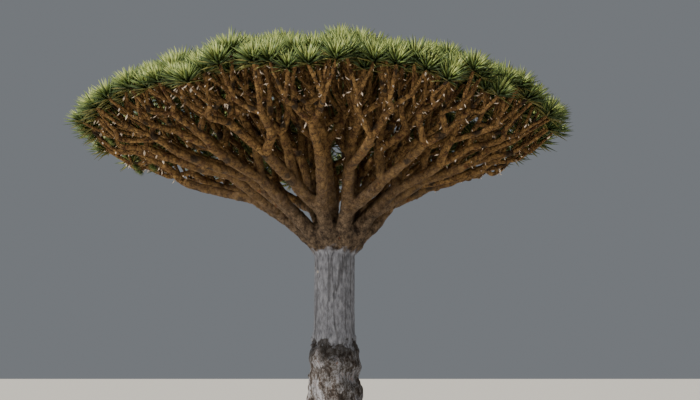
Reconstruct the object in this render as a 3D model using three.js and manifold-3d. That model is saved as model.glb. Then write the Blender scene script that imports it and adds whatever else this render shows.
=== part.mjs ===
// Dragon blood tree: a three.js model in millimetres, +Z up, standing on the ground at the origin.
// A bare trunk opens into a funnel of boughs that fork again and again, and every last twig ends in a
// rosette of sword leaves. The rosettes stand side by side and make one umbrella-shaped crown.

import * as THREE from "three";
import { mergeVertices } from "three/addons/utils/BufferGeometryUtils.js";
import Module from "manifold-3d";

const wasm = await Module();
wasm.setup();

// Driving dimensions
const TRUNK_RADIUS = 288;
const FORK_HEIGHT = 2950; // where the boughs' centre lines would meet
const TRUNK_LEAN = new THREE.Vector2(10, 20); // how far the fork stands from over the foot
const HEAD_RADIUS = 470; // of the trunk's flared top, which the boughs grow out of
const CROWN_RADIUS = 3555; // to the middle of the outermost rosettes
const CROWN_CENTRE = new THREE.Vector2(-200, -60);
const RIM_HEIGHT = 4600; // of the twig tips at the crown's edge
const CROWN_RISE = 1070; // from the edge to the twig tips in the middle
const DOME_POWER = 2; // 2 makes a round dome, and more one that is flatter in the middle
const CROWN_TILT = new THREE.Vector2(0.003, -0.032); // rise of the rim for each millimetre towards +X and +Y
const LIFT = 0.85; // under 1: boughs leave the fork steeply and flatten towards the rim
const OUTER_BOUGHS = 9;
const INNER_BOUGHS = 5;
const INNER_SHARE = 0.5; // of the crown's radius, which the inner boughs feed
const FIRST_BEARING = { outer: 0.28, inner: 0.9 }; // radians from +X
const TIP_AREA = 0.6e6; // mm2 of crown: a limb forks until it feeds less than this
const FORK_REACH = 1500; // how far short of its rosettes a limb forks that feeds 1 m2
const FORK_POWER = 0.57; // of the area, which that distance grows with
const FIRST_FORK = 0.22; // of the way to its rosettes, before which no limb forks
const LIMB_RADIUS = 72; // of a limb that feeds 1 m2
const LIMB_POWER = 0.34; // of the area, which the radius grows with
const FORK_SPREAD = 0.28; // how far two limbs lean apart where they part
const START_PULL = 0.16; // share of a limb's length over which it keeps that lean
const END_PULL = 0.28; // share over which it turns to its last heading
const TWIG_PULL = 0.12; // the same for a twig, which turns late to its rosette
const STEM_LENGTH = 110; // of a bough's last part, which is the stem of its mass of foliage
const LEAF_LENGTH = 320;
const LEAST_LEAF = 0.45; // share of its length under which a leaf is left out
const ROSETTE_TILT = 0.72; // radians that the outermost rosettes lean outwards
const CLEARANCE = 0.4; // between two solids that meet
const SEAM = 8; // the finest step kept where twigs join

const SEED = 1;
const UP = new THREE.Vector3(0, 0, 1);
const TURN = 2 * Math.PI;
const FORK = new THREE.Vector3(TRUNK_LEAN.x, TRUNK_LEAN.y, FORK_HEIGHT);

const BARK = { color: "#8a7d72", roughness: 0.9, metalness: 0 };
const BOUGH_BARK = { color: "#7d5c38", roughness: 0.88, metalness: 0 };
const LEAVES = { color: "#6f8a45", roughness: 0.55, metalness: 0 };

// A number from 0 to 1 that is always the same for one patch and one use.
function chance(key, use) {
  const wave = Math.sin(key * 12.9898 + (use + SEED) * 78.233) * 43758.5453;
  return wave - Math.floor(wave);
}

// The same, from -1 to 1.
const sway = (key, use) => 2 * chance(key, use) - 1;

// A patch is a piece of the crown seen from above, between two radii and two bearings, and each limb
// feeds one. Its key numbers it, and its halves have twice that key and one more.
class Patch {
  constructor(key, inner, outer, from, to) {
    Object.assign(this, { key, inner, outer, from, to });
    this.area = ((outer ** 2 - inner ** 2) * CROWN_RADIUS ** 2 * (to - from)) / 2;
    const squareMetres = this.area / 1e6;
    this.radius = LIMB_RADIUS * squareMetres ** LIMB_POWER;
    this.share = Math.sqrt((inner ** 2 + outer ** 2) / 2) + 0.12 * sway(key, 1) * (outer - inner);
    this.bearing = (from + to) / 2 + 0.12 * sway(key, 2) * (to - from);
    this.top = this.placeOfTop();
    const reach = FORK_REACH * squareMetres ** FORK_POWER;
    this.forkAt = Math.max(FIRST_FORK, 1 - reach / this.top.distanceTo(FORK));
  }

  // Where the patch's middle lies on the dome that the twig tips make.
  placeOfTop() {
    const reach = this.share * CROWN_RADIUS;
    const x = CROWN_CENTRE.x + reach * Math.cos(this.bearing);
    const y = CROWN_CENTRE.y + reach * Math.sin(this.bearing);
    const dome = RIM_HEIGHT + CROWN_RISE * (1 - this.share ** DOME_POWER);
    const unevenness = 70 * sway(this.key, 4);
    return new THREE.Vector3(x, y, dome + CROWN_TILT.x * x + CROWN_TILT.y * y + unevenness);
  }

  // A point on the way from the fork to the patch's middle, with t from 0 to 1.
  along(t) {
    const way = this.top.clone().sub(FORK);
    return new THREE.Vector3(way.x * t, way.y * t, way.z * t ** LIFT).add(FORK);
  }

  headingAt(t) {
    const step = 0.01;
    return this.along(t + step).sub(this.along(t - step)).normalize();
  }

  // The direction in which the rosette over this patch faces.
  facing() {
    const lean = ROSETTE_TILT * this.share ** 1.5;
    const outward = new THREE.Vector3(Math.cos(this.bearing), Math.sin(this.bearing), 0);
    return outward.multiplyScalar(Math.sin(lean)).addScaledVector(UP, Math.cos(lean));
  }

  halves() {
    const part = 0.5 + 0.11 * sway(this.key, 3);
    const wide = ((this.to - this.from) * (this.inner + this.outer)) / 2 > this.outer - this.inner;
    const bearing = this.from + part * (this.to - this.from);
    const radius = Math.sqrt(this.inner ** 2 + part * (this.outer ** 2 - this.inner ** 2));
    const [first, second] = [2 * this.key, 2 * this.key + 1];
    return wide
      ? [
          new Patch(first, this.inner, this.outer, this.from, bearing),
          new Patch(second, this.inner, this.outer, bearing, this.to),
        ]
      : [
          new Patch(first, this.inner, radius, this.from, this.to),
          new Patch(second, radius, this.outer, this.from, this.to),
        ];
  }
}

// One limb from its parent's fork to its own, on a curve that first leans away from its sister.
class Limb {
  constructor(patch, start, heading, isTwig = false) {
    this.patch = patch;
    const end = isTwig ? patch.top : patch.along(patch.forkAt);
    const way = end.clone().sub(start);
    const aside = way.clone().addScaledVector(heading, -way.dot(heading)).normalize();
    const first = heading.clone().addScaledVector(aside, FORK_SPREAD).normalize();
    const last = isTwig ? patch.facing() : patch.headingAt(patch.forkAt);
    this.curve = new THREE.CubicBezierCurve3(
      start.clone(),
      start.clone().addScaledVector(first, START_PULL * way.length()),
      end.clone().addScaledVector(last, -(isTwig ? TWIG_PULL : END_PULL) * way.length()),
      end.clone(),
    );
    this.heading = last;
    this.side = new THREE.Vector3(-Math.sin(patch.bearing), Math.cos(patch.bearing), 0);
    this.thick = 1.12 * patch.radius;
    this.thin = 0.94 * patch.radius;
    this.stemAt = 1 - STEM_LENGTH / this.curve.getLength();
  }

  radiusAt(u) {
    return this.thick + (this.thin - this.thick) * u;
  }

  // The ring of points round the limb at u, from 0 at its start to 1 at its end.
  ring(u, sides, radius) {
    const heading = this.curve.getTangent(u);
    const across = this.side.clone().addScaledVector(heading, -this.side.dot(heading)).normalize();
    return ringRound(this.curve.getPoint(u), across, heading.cross(across), radius, sides, 0);
  }

  // Balls along the limb's centre line, from which a leaf keeps clear.
  balls() {
    const count = 12;
    return Array.from({ length: count + 1 }, (_, i) => ({
      centre: this.curve.getPoint(i / count),
      radius: this.radiusAt(i / count),
      key: this.patch.key,
    }));
  }
}

function ringRound(centre, across, upward, radius, sides, turn) {
  return Array.from({ length: sides }, (_, i) => {
    const angle = (TURN * (i + turn)) / sides;
    return centre
      .clone()
      .addScaledVector(across, radius * Math.cos(angle))
      .addScaledVector(upward, radius * Math.sin(angle));
  });
}

// Triangles, kept as triples of points, that become one closed geometry.
class Skin {
  constructor() {
    this.corners = [];
  }

  triangle(a, b, c) {
    this.corners.push(a, b, c);
  }

  band(lower, upper) {
    lower.forEach((point, i) => {
      const next = (i + 1) % lower.length;
      this.triangle(point, lower[next], upper[next]);
      this.triangle(point, upper[next], upper[i]);
    });
  }

  // Between two rings that start at the same bearing and differ in their number of points.
  unevenBand(lower, upper) {
    let [i, j] = [0, 0];
    while (i < lower.length || j < upper.length) {
      const from = lower[i % lower.length];
      const to = upper[j % upper.length];
      const lowerIsNext = (i + 1) / lower.length <= (j + 1) / upper.length;
      if (lowerIsNext) this.triangle(from, lower[++i % lower.length], to);
      else this.triangle(from, upper[(j + 1) % upper.length], upper[j++ % upper.length]);
    }
  }

  cap(ring) {
    for (let i = 1; i < ring.length - 1; i++) this.triangle(ring[0], ring[i], ring[i + 1]);
  }

  // A tube through rings of one size, closed at its first ring, and at its last if that is asked.
  tube(rings, closedAtEnd = true) {
    this.cap([...rings[0]].reverse());
    for (let i = 1; i < rings.length; i++) this.band(rings[i - 1], rings[i]);
    if (closedAtEnd) this.cap(rings[rings.length - 1]);
    return this;
  }

  geometry() {
    return new THREE.BufferGeometry().setFromPoints(this.corners);
  }
}

function solidFrom(skin) {
  const merged = mergeVertices(skin.geometry(), 1e-3);
  return new wasm.Manifold(
    new wasm.Mesh({
      numProp: 3,
      vertProperties: merged.attributes.position.array,
      triVerts: new Uint32Array(merged.index.array),
    }),
  );
}

// The largest body of a solid, once its joints and cuts are made.
function mainBody(solid) {
  return solid.decompose().reduce((best, body) => (body.volume() > best.volume() ? body : best));
}

function meshOf(name, solid, finish) {
  const { numProp, vertProperties, triVerts } = mainBody(solid).getMesh();
  const positions = new THREE.InterleavedBuffer(vertProperties, numProp);
  const geometry = new THREE.BufferGeometry()
    .setAttribute("position", new THREE.InterleavedBufferAttribute(positions, 3, 0))
    .setIndex(new THREE.BufferAttribute(triVerts, 1))
    .toNonIndexed();
  geometry.computeVertexNormals();
  const mesh = new THREE.Mesh(geometry, new THREE.MeshStandardMaterial(finish));
  mesh.name = name;
  return mesh;
}

// A limb as a solid from u to v, with a blunt rounded end where it forks.
function limbSolid(limb, { from = 0, to = 1, sides = 6, steps = 4, grow = 0, rounded = false, flare = 0 }) {
  const rings = [];
  for (let i = 0; i <= steps; i++) {
    const u = from + ((to - from) * i) / steps;
    const swelling = 1 + flare * (1 - u) ** 4;
    rings.push(limb.ring(u, sides, limb.radiusAt(u) * swelling + grow));
  }
  if (rounded) {
    const radius = limb.radiusAt(1) + grow;
    const beyond = limb.heading.clone().multiplyScalar(0.6 * radius);
    rings.push(limb.ring(1, sides, 0.62 * radius).map((point) => point.add(beyond)));
  }
  rings[0].forEach((point) => point.addScaledVector(limb.curve.getTangent(from), -grow));
  rings.at(-1).forEach((point) => point.addScaledVector(limb.curve.getTangent(to), grow));
  return solidFrom(new Skin().tube(rings));
}

// The trunk: a root flare, a swollen and knobbly part that old cuts have left, a plain shaft, and a
// head that widens into the boughs. Each stop is a height and the radius there.
const TRUNK_PROFILE = [
  [0, 1.62 * TRUNK_RADIUS],
  [110, 1.45 * TRUNK_RADIUS],
  [350, 1.3 * TRUNK_RADIUS],
  [800, 1.22 * TRUNK_RADIUS],
  [1080, 1.27 * TRUNK_RADIUS],
  [1250, 1.19 * TRUNK_RADIUS],
  [1440, 1.25 * TRUNK_RADIUS],
  [1620, 1.19 * TRUNK_RADIUS],
  [1770, 1.06 * TRUNK_RADIUS],
  [2100, TRUNK_RADIUS],
  [3000, TRUNK_RADIUS],
  [3090, 1.12 * TRUNK_RADIUS],
  [3190, 0.84 * HEAD_RADIUS],
  [3310, HEAD_RADIUS],
  [3430, 0.9 * HEAD_RADIUS],
  [3500, 0.55 * HEAD_RADIUS],
];
const KNOBBLY = { middle: 1250, reach: 620, depth: 0.085 };
const FOOT_LOBES = { count: 5, depth: 0.1, height: 320 };
const HEAD_LOBES = { depth: 0.06, from: 3000 };

function trunkRadius(height, radius, angle) {
  const knobs = Math.exp(-(((height - KNOBBLY.middle) / KNOBBLY.reach) ** 2));
  const bumps = Math.sin(3 * angle + height / 130) * Math.sin(2 * angle - height / 95 + 1);
  const foot = Math.exp(-height / FOOT_LOBES.height) * Math.cos(FOOT_LOBES.count * angle + 0.6);
  const head = height > HEAD_LOBES.from ? Math.cos(OUTER_BOUGHS * (angle - FIRST_BEARING.outer)) : 0;
  const lobes = KNOBBLY.depth * knobs * bumps + FOOT_LOBES.depth * foot + HEAD_LOBES.depth * head;
  return radius * (1 + lobes);
}

function trunkSolid(grow) {
  const sides = 2 * OUTER_BOUGHS;
  const rings = TRUNK_PROFILE.map(([height, radius]) => {
    const lean = height / FORK_HEIGHT;
    return Array.from({ length: sides }, (_, i) => {
      const angle = FIRST_BEARING.outer + (TURN * i) / sides;
      const out = trunkRadius(height, radius, angle) + grow;
      const x = TRUNK_LEAN.x * lean + out * Math.cos(angle);
      const y = TRUNK_LEAN.y * lean + out * Math.sin(angle);
      return new THREE.Vector3(x, y, height);
    });
  });
  if (grow) rings[rings.length - 1].forEach((point) => (point.z += grow));
  return solidFrom(new Skin().tube(rings));
}

const TWIG_SIDES = 3;

// The rings of a rosette's short core: height along its axis, and radius, as shares of the core's.
const CORE_RINGS = [
  [-0.5, 0.3],
  [-0.12, 0.98],
  [0.12, 0.98],
  [0.34, 0.6],
];
const CORE_TOP = 0.44;
const LEAF_ANGLES = [1.5, 1.02, 0.5]; // radians from the axis, for each row of leaves
const LEAVES_IN_ROW = 5;
const CORE_SHARE = 0.5; // of the leaf's length

// A twig with its rosette: a stub of stem, then a core whose every facet is drawn out to a leaf.
function rosetteSolid(limb, room) {
  const { patch } = limb;
  const axis = patch.facing();
  const across = limb.side.clone().addScaledVector(axis, -limb.side.dot(axis)).normalize();
  const upward = axis.clone().cross(across);
  const core = CORE_SHARE * LEAF_LENGTH;
  const ring = ([height, radius], row) =>
    ringRound(
      patch.top.clone().addScaledVector(axis, height * core),
      across,
      upward,
      radius * core,
      LEAVES_IN_ROW,
      row % 2 ? 0.5 : 0,
    );
  const rows = CORE_RINGS.map(ring);
  const peak = patch.top.clone().addScaledVector(axis, CORE_TOP * core);
  const skin = new Skin();
  const stalk = [0, 0.55].map((u) => limb.ring(u, TWIG_SIDES, 1.15 * limb.radiusAt(u)));
  skin.tube(stalk, false);
  skin.unevenBand(stalk[1], rows[0]);
  rows[0].forEach((point, i) => {
    skin.triangle(point, rows[0][(i + 1) % LEAVES_IN_ROW], rows[1][i]);
  });
  for (let row = 1; row < rows.length; row++) {
    const shift = row % 2 ? 0 : 1;
    for (let i = 0; i < LEAVES_IN_ROW; i++) {
      const right = rows[row][(i + 1) % LEAVES_IN_ROW];
      const left = rows[row][i];
      const below = rows[row - 1][(i + 1 - shift + LEAVES_IN_ROW) % LEAVES_IN_ROW];
      const above = row + 1 < rows.length ? rows[row + 1][(i + 1 - shift) % LEAVES_IN_ROW] : peak;
      const turn = (TURN * (i + 0.5 + (row % 2 ? 0.5 : 0))) / LEAVES_IN_ROW;
      const use = 10 + row * LEAVES_IN_ROW + i;
      const slope = LEAF_ANGLES[row - 1] + 0.14 * sway(patch.key, use);
      const direction = axis
        .clone()
        .multiplyScalar(Math.cos(slope))
        .addScaledVector(across, Math.sin(slope) * Math.cos(turn))
        .addScaledVector(upward, Math.sin(slope) * Math.sin(turn));
      const length = LEAF_LENGTH * (1 + 0.1 * sway(patch.key, use + 40));
      const tip = leafTip(patch, direction, length, room);
      if (tip) {
        skin.triangle(left, below, tip);
        skin.triangle(below, right, tip);
        skin.triangle(right, above, tip);
        skin.triangle(above, left, tip);
      } else {
        skin.triangle(left, below, above);
        skin.triangle(below, right, above);
      }
    }
  }
  return solidFrom(skin);
}

// Where a leaf ends: short of the next rosette's space, or nowhere if too little is left of it or it
// would touch a limb.
function leafTip(patch, direction, length, { tips, balls }) {
  let reach = length;
  for (const other of tips) {
    if (other === patch) continue;
    const away = other.top.clone().sub(patch.top);
    const towards = direction.dot(away) / away.length();
    if (towards > 0) reach = Math.min(reach, (away.length() / 2 - CLEARANCE) / towards);
  }
  if (reach < LEAST_LEAF * length) return null;
  const own = CORE_SHARE * LEAF_LENGTH;
  for (let along = own; along <= reach; along += own / 3) {
    const point = patch.top.clone().addScaledVector(direction, along);
    const halfWidth = 0.6 * own * (1 - (along - own) / length);
    const touches = ({ centre, radius, key }) =>
      key !== patch.key && centre.distanceTo(point) < radius + halfWidth + CLEARANCE;
    if (balls.some(touches)) return null;
  }
  return patch.top.clone().addScaledVector(direction, reach);
}

// Every limb that grows on from one, down to the twigs, as a flat list with the limb itself first.
function grown(limb) {
  if (isTip(limb.patch)) return [limb];
  const sisters = limb.patch
    .halves()
    .map((half) => new Limb(half, limb.curve.v3, limb.heading, isTip(half)));
  return [limb, ...sisters.flatMap(grown)];
}

function isTip(patch) {
  return patch.area < TIP_AREA;
}

function rootPatches() {
  const ring = (count, firstKey, inner, outer, start) =>
    Array.from({ length: count }, (_, i) => {
      const from = start + (TURN * (i - 0.5)) / count;
      return new Patch(firstKey + i, inner, outer, from, from + TURN / count);
    });
  const firstKey = 16;
  return {
    outer: ring(OUTER_BOUGHS, firstKey, INNER_SHARE, 1, FIRST_BEARING.outer),
    inner: ring(INNER_BOUGHS, firstKey + OUTER_BOUGHS, 0, INNER_SHARE, FIRST_BEARING.inner),
  };
}

// One mass of foliage: the stem that carries its bough on, the twigs that fork from it, and rosettes.
function massSolid(limb, room) {
  const parts = grown(limb).map((part) => {
    if (part === limb) {
      const gap = CLEARANCE / limb.curve.getLength();
      return limbSolid(limb, { from: limb.stemAt + gap, sides: 5, steps: 1, rounded: true });
    }
    if (isTip(part.patch)) return rosetteSolid(part, room);
    return limbSolid(part, { sides: 3, steps: 2, rounded: true });
  });
  return parts.reduce((whole, part) => whole.add(part)).simplify(SEAM);
}

// The whole tree: the trunk, then each bough cut clear of what it grows from and of its sisters.
function dragonTree() {
  const tree = new THREE.Group();
  const add = (name, solid, finish) => tree.add(meshOf(name, solid, finish));
  const numbered = (kind, index) => `${kind}_${String(index + 1).padStart(2, "0")}`;
  const { outer, inner } = rootPatches();
  const start = 0.05;
  const rootLimb = (patch) => new Limb(patch, patch.along(start), patch.headingAt(start));
  const boughs = [...outer, ...inner].map(rootLimb);
  const carriers = boughs.flatMap((bough, index) =>
    index < OUTER_BOUGHS
      ? bough.patch.halves().map((half) => new Limb(half, bough.curve.v3, bough.heading))
      : [bough],
  );
  const everyLimb = [...boughs, ...carriers.flatMap(grown)];
  const room = {
    tips: everyLimb.map((limb) => limb.patch).filter(isTip),
    balls: everyLimb.flatMap((limb) => limb.balls()),
  };

  add("trunk", trunkSolid(0), BARK);
  const cutters = [trunkSolid(2 * CLEARANCE)];
  boughs.forEach((bough, index) => {
    const isOuter = index < OUTER_BOUGHS;
    const shape = { sides: 7, steps: 4, flare: 0.3, rounded: isOuter, to: isOuter ? 1 : bough.stemAt };
    const solid = cutters.reduce((rest, cutter) => rest.subtract(cutter), limbSolid(bough, shape));
    add(numbered("bough", index), solid, BOUGH_BARK);
    cutters.push(limbSolid(bough, { ...shape, grow: CLEARANCE }));
    if (!isOuter) add(numbered("foliage", index), massSolid(bough, room), LEAVES);
  });

  const daughters = carriers.slice(0, 2 * OUTER_BOUGHS);
  daughters.forEach((daughter, index) => {
    const letter = index % 2 ? "b" : "a";
    const parent = Math.floor(index / 2);
    const shape = { sides: 6, steps: 2, flare: 0.1, to: daughter.stemAt };
    const solid = cutters.reduce((rest, cutter) => rest.subtract(cutter), limbSolid(daughter, shape));
    add(`${numbered("bough", parent)}_${letter}`, solid, BOUGH_BARK);
    cutters.push(limbSolid(daughter, { ...shape, grow: CLEARANCE }));
    add(`${numbered("foliage", parent)}_${letter}`, massSolid(daughter, room), LEAVES);
  });
  return tree;
}

export default dragonTree();
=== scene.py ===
"""A dragon blood tree as it looks: its bark, its finer twigs and its leaves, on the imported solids.

The limbs fork by the rule that shaped the solids, written again here and carried on to finer twigs.
Lengths are in metres and angles in radians. Each sub-assembly is a class that builds its meshes and
then dresses them, and main() runs them in order.
"""

import logging
import math
from abc import ABC, abstractmethod
from dataclasses import dataclass, field
from enum import Enum, IntEnum
from typing import Iterator

import bpy
import numpy as np
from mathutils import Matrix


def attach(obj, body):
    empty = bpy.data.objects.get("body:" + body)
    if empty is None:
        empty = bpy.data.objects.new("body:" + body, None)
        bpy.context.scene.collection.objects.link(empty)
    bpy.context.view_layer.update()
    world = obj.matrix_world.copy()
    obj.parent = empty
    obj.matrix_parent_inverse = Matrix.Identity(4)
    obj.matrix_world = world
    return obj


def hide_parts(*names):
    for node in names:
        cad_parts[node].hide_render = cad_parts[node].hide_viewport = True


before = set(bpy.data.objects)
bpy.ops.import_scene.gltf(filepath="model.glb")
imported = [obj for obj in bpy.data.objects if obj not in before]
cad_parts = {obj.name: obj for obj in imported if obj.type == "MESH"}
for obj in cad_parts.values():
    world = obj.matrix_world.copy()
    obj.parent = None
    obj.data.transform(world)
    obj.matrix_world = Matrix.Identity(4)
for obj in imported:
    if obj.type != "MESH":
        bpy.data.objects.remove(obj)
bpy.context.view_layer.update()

ROOT = "root"
MM = 0.001
UP = np.array([0.0, 0.0, 1.0])
TURN = 2.0 * math.pi
GOLDEN_ANGLE = math.pi * (3.0 - math.sqrt(5.0))
CAP_RINGS = (0.5, 0.85)  # of a limb's rounded end, in radii past where the limb stops
UNEVEN_ROSETTES = 0.08  # most by which a rosette is larger or smaller, as a share
LENGTH_SEED = 50  # between the seeds of a row's angles and of its lengths
SEED_TWIST = 1.7  # turn of a row for each step of its seed

log = logging.getLogger("dragon_tree")


class Slot(str, Enum):
    """The record's material slots."""

    TRUNK = "trunk_bark"
    BOUGH = "bough_bark"
    LEAF = "leaf_rosettes"


class Use(IntEnum):
    """What a number from chance() is for, so that no two uses draw the same one."""

    DISTANCE = 1
    BEARING = 2
    SPLIT = 3
    HEIGHT = 4
    KNUCKLE = 5
    ROSETTE_TURN = 6
    ROSETTE_SIZE = 7
    SWELLING = 8
    CLUMP = 9
    SHOOT = 12
    SHOOT_SIZE = 13
    SCRAP = 31
    SCRAP_PLACE = 32
    SCRAP_TURN = 33
    SCRAP_DROOP = 34
    SCRAP_SIZE = 35
    KNOB_HEIGHT = 61
    KNOB_BEARING = 62
    KNOB_SIZE = 63
    KNOB_DEPTH = 64


# Growth


@dataclass(frozen=True)
class Growth:
    """The sizes that the tree grows by, the solids' own, with a smaller tip area and thinner twigs."""

    trunk_radius: float = 0.288
    fork_height: float = 2.95
    lean: tuple[float, float] = (0.01, 0.02)
    head_radius: float = 0.47
    crown_radius: float = 3.555
    crown_centre: tuple[float, float] = (-0.2, -0.06)
    rim_height: float = 4.6
    crown_rise: float = 1.07
    dome_power: float = 2.0  # over 2 would flatten the dome's middle
    tilt: tuple[float, float] = (0.003, -0.032)  # rise towards +X and +Y
    unevenness: float = 0.07
    clump_unevenness: float = 0.08
    clump_size: int = 4  # rosettes that stand higher or lower together
    drift: float = 0.12  # share of a patch that its middle may wander
    last_drift: float = 0.28
    split_unevenness: float = 0.11
    inset: float = 0.955  # draws the rosettes in, so that their leaves end where the solids' do
    lift: float = 0.85  # under 1: limbs leave the fork steeply and flatten towards the rim
    outer_boughs: int = 9
    inner_boughs: int = 5
    inner_share: float = 0.5
    first_key: int = 16
    first_outer_bearing: float = 0.28
    first_inner_bearing: float = 0.9
    tip_area: float = 0.09  # a limb forks until it feeds less than this
    fork_reach: float = 1.5  # how far short of its rosettes a limb forks that feeds 1 m2
    fork_power: float = 0.57
    first_fork: float = 0.22
    limb_radius: float = 0.072  # of a limb that feeds 1 m2
    limb_power: float = 0.34
    side_area: float = 0.62  # below this a limb is a twig, and thins faster
    twig_power: float = 0.46
    root_width: float = 1.12  # of a limb, as a share of its plain radius
    taper: float = 0.18
    season_length: float = 0.24  # of each slight swelling along a limb
    waist: float = 0.95
    swelling: float = 0.09
    swelling_shift: float = 0.4
    collar: float = 0.3  # by which a main bough widens into the trunk's head
    collar_power: int = 4
    fork_spread: float = 0.28  # how far two limbs lean apart where they part
    start_pull: float = 0.16
    end_pull: float = 0.28
    twig_pull: float = 0.12
    rosette_tilt: float = 0.72
    tilt_power: float = 1.5
    start: float = 0.05
    seed: int = 1

    @property
    def fork(self) -> np.ndarray:
        """Where the boughs' centre lines would meet."""
        return np.array([self.lean[0], self.lean[1], self.fork_height])

    def radius_for(self, area: float) -> float:
        """Gives the radius of the limb that feeds a patch, finer for the twigs than for the boughs.

        Args:
            area: The patch's area.

        Returns:
            The radius.
        """
        finer = min(1.0, area / self.side_area) ** (self.twig_power - self.limb_power)
        return self.limb_radius * area**self.limb_power * finer


GROWTH = Growth()


def chance(key: float | np.ndarray, use: Use) -> float | np.ndarray:
    """Gives a number from 0 to 1 that is always the same for one key and one use.

    Args:
        key: What the number belongs to, such as a patch's key, or an array of them.
        use: What the number is for.

    Returns:
        The number, or an array of them.
    """
    # The usual sine hash, whose factors only have to be large and uneven.
    wave = np.sin(key * 12.9898 + (use + GROWTH.seed) * 78.233) * 43758.5453
    return wave - np.floor(wave)


def sway(key: float | np.ndarray, use: Use) -> float | np.ndarray:
    """Gives the same as chance(), from -1 to 1.

    Args:
        key: What the number belongs to, or an array of them.
        use: What the number is for.

    Returns:
        The number, or an array of them.
    """
    return 2.0 * chance(key, use) - 1.0


def unit(vector: np.ndarray) -> np.ndarray:
    """Scales vectors to length 1.

    Args:
        vector: One vector, or rows of them.

    Returns:
        The vectors, each of length 1.
    """
    return vector / np.linalg.norm(vector, axis=-1, keepdims=True)


@dataclass(frozen=True)
class Patch:
    """A piece of the crown seen from above, which one limb feeds.

    Its radii are shares of the crown's, and its halves have twice its key and one more.
    """

    key: int
    inner: float
    outer: float
    start: float
    end: float

    @property
    def area(self) -> float:
        """The patch's area."""
        ring = (self.outer**2 - self.inner**2) * GROWTH.crown_radius**2
        return ring * (self.end - self.start) / 2.0

    @property
    def is_last(self) -> bool:
        """Whether the patch is small enough for one rosette."""
        return self.area < GROWTH.tip_area

    @property
    def drift(self) -> float:
        """How far the patch's middle may wander, as a share of the patch."""
        return GROWTH.last_drift if self.is_last else GROWTH.drift

    @property
    def radius(self) -> float:
        """The radius of the limb that feeds the patch."""
        return GROWTH.radius_for(self.area)

    @property
    def share(self) -> float:
        """How far out the patch's middle is.

        Returns:
            The distance, as a share of the crown's radius.
        """
        middle = math.sqrt((self.inner**2 + self.outer**2) / 2.0)
        inset = GROWTH.inset if self.is_last else 1.0
        wander = self.drift * sway(self.key, Use.DISTANCE)
        return inset * (middle + wander * (self.outer - self.inner))

    @property
    def bearing(self) -> float:
        """The bearing of the patch's middle from the crown's centre."""
        wander = self.drift * sway(self.key, Use.BEARING)
        return (self.start + self.end) / 2.0 + wander * (self.end - self.start)

    @property
    def top(self) -> np.ndarray:
        """Where the patch's middle lies on the dome that the twig tips make.

        Returns:
            The point.
        """
        reach = self.share * GROWTH.crown_radius
        x = GROWTH.crown_centre[0] + reach * math.cos(self.bearing)
        y = GROWTH.crown_centre[1] + reach * math.sin(self.bearing)
        dome = GROWTH.rim_height + GROWTH.crown_rise * (1.0 - self.share**GROWTH.dome_power)
        slope = GROWTH.tilt[0] * x + GROWTH.tilt[1] * y
        height = dome + slope + GROWTH.unevenness * sway(self.key, Use.HEIGHT)
        if self.is_last:
            clump = self.key // GROWTH.clump_size
            height += GROWTH.clump_unevenness * sway(clump, Use.CLUMP)
        return np.array([x, y, height])

    @property
    def fork_at(self) -> float:
        """How far along the way to the patch its limb forks.

        Returns:
            The share of the way, from 0 to 1.
        """
        way = np.linalg.norm(self.top - GROWTH.fork)
        reach = GROWTH.fork_reach * self.area**GROWTH.fork_power
        return max(GROWTH.first_fork, 1.0 - reach / way)

    def along(self, t: float) -> np.ndarray:
        """Gives a point on the way from the fork to the patch's middle.

        Args:
            t: How far along, from 0 to 1.

        Returns:
            The point.
        """
        way = self.top - GROWTH.fork
        return GROWTH.fork + np.array([way[0] * t, way[1] * t, way[2] * t**GROWTH.lift])

    def heading_at(self, t: float) -> np.ndarray:
        """Gives the direction of that way.

        Args:
            t: How far along, from 0 to 1.

        Returns:
            The direction, of length 1.
        """
        step = 0.01
        return unit(self.along(t + step) - self.along(t - step))

    def facing(self) -> np.ndarray:
        """Gives the direction in which the rosette over the patch faces.

        Returns:
            The direction, of length 1.
        """
        lean = GROWTH.rosette_tilt * self.share**GROWTH.tilt_power
        outward = np.array([math.cos(self.bearing), math.sin(self.bearing), 0.0])
        return outward * math.sin(lean) + UP * math.cos(lean)

    def halves(self) -> list["Patch"]:
        """Splits the patch across its longer way.

        Returns:
            The two halves.
        """
        part = 0.5 + GROWTH.split_unevenness * sway(self.key, Use.SPLIT)
        wide = (self.end - self.start) * (self.inner + self.outer) / 2.0 > self.outer - self.inner
        first, second = 2 * self.key, 2 * self.key + 1
        if wide:
            bearing = self.start + part * (self.end - self.start)
            return [
                Patch(first, self.inner, self.outer, self.start, bearing),
                Patch(second, self.inner, self.outer, bearing, self.end),
            ]
        radius = math.sqrt(self.inner**2 + part * (self.outer**2 - self.inner**2))
        return [
            Patch(first, self.inner, radius, self.start, self.end),
            Patch(second, radius, self.outer, self.start, self.end),
        ]


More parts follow.
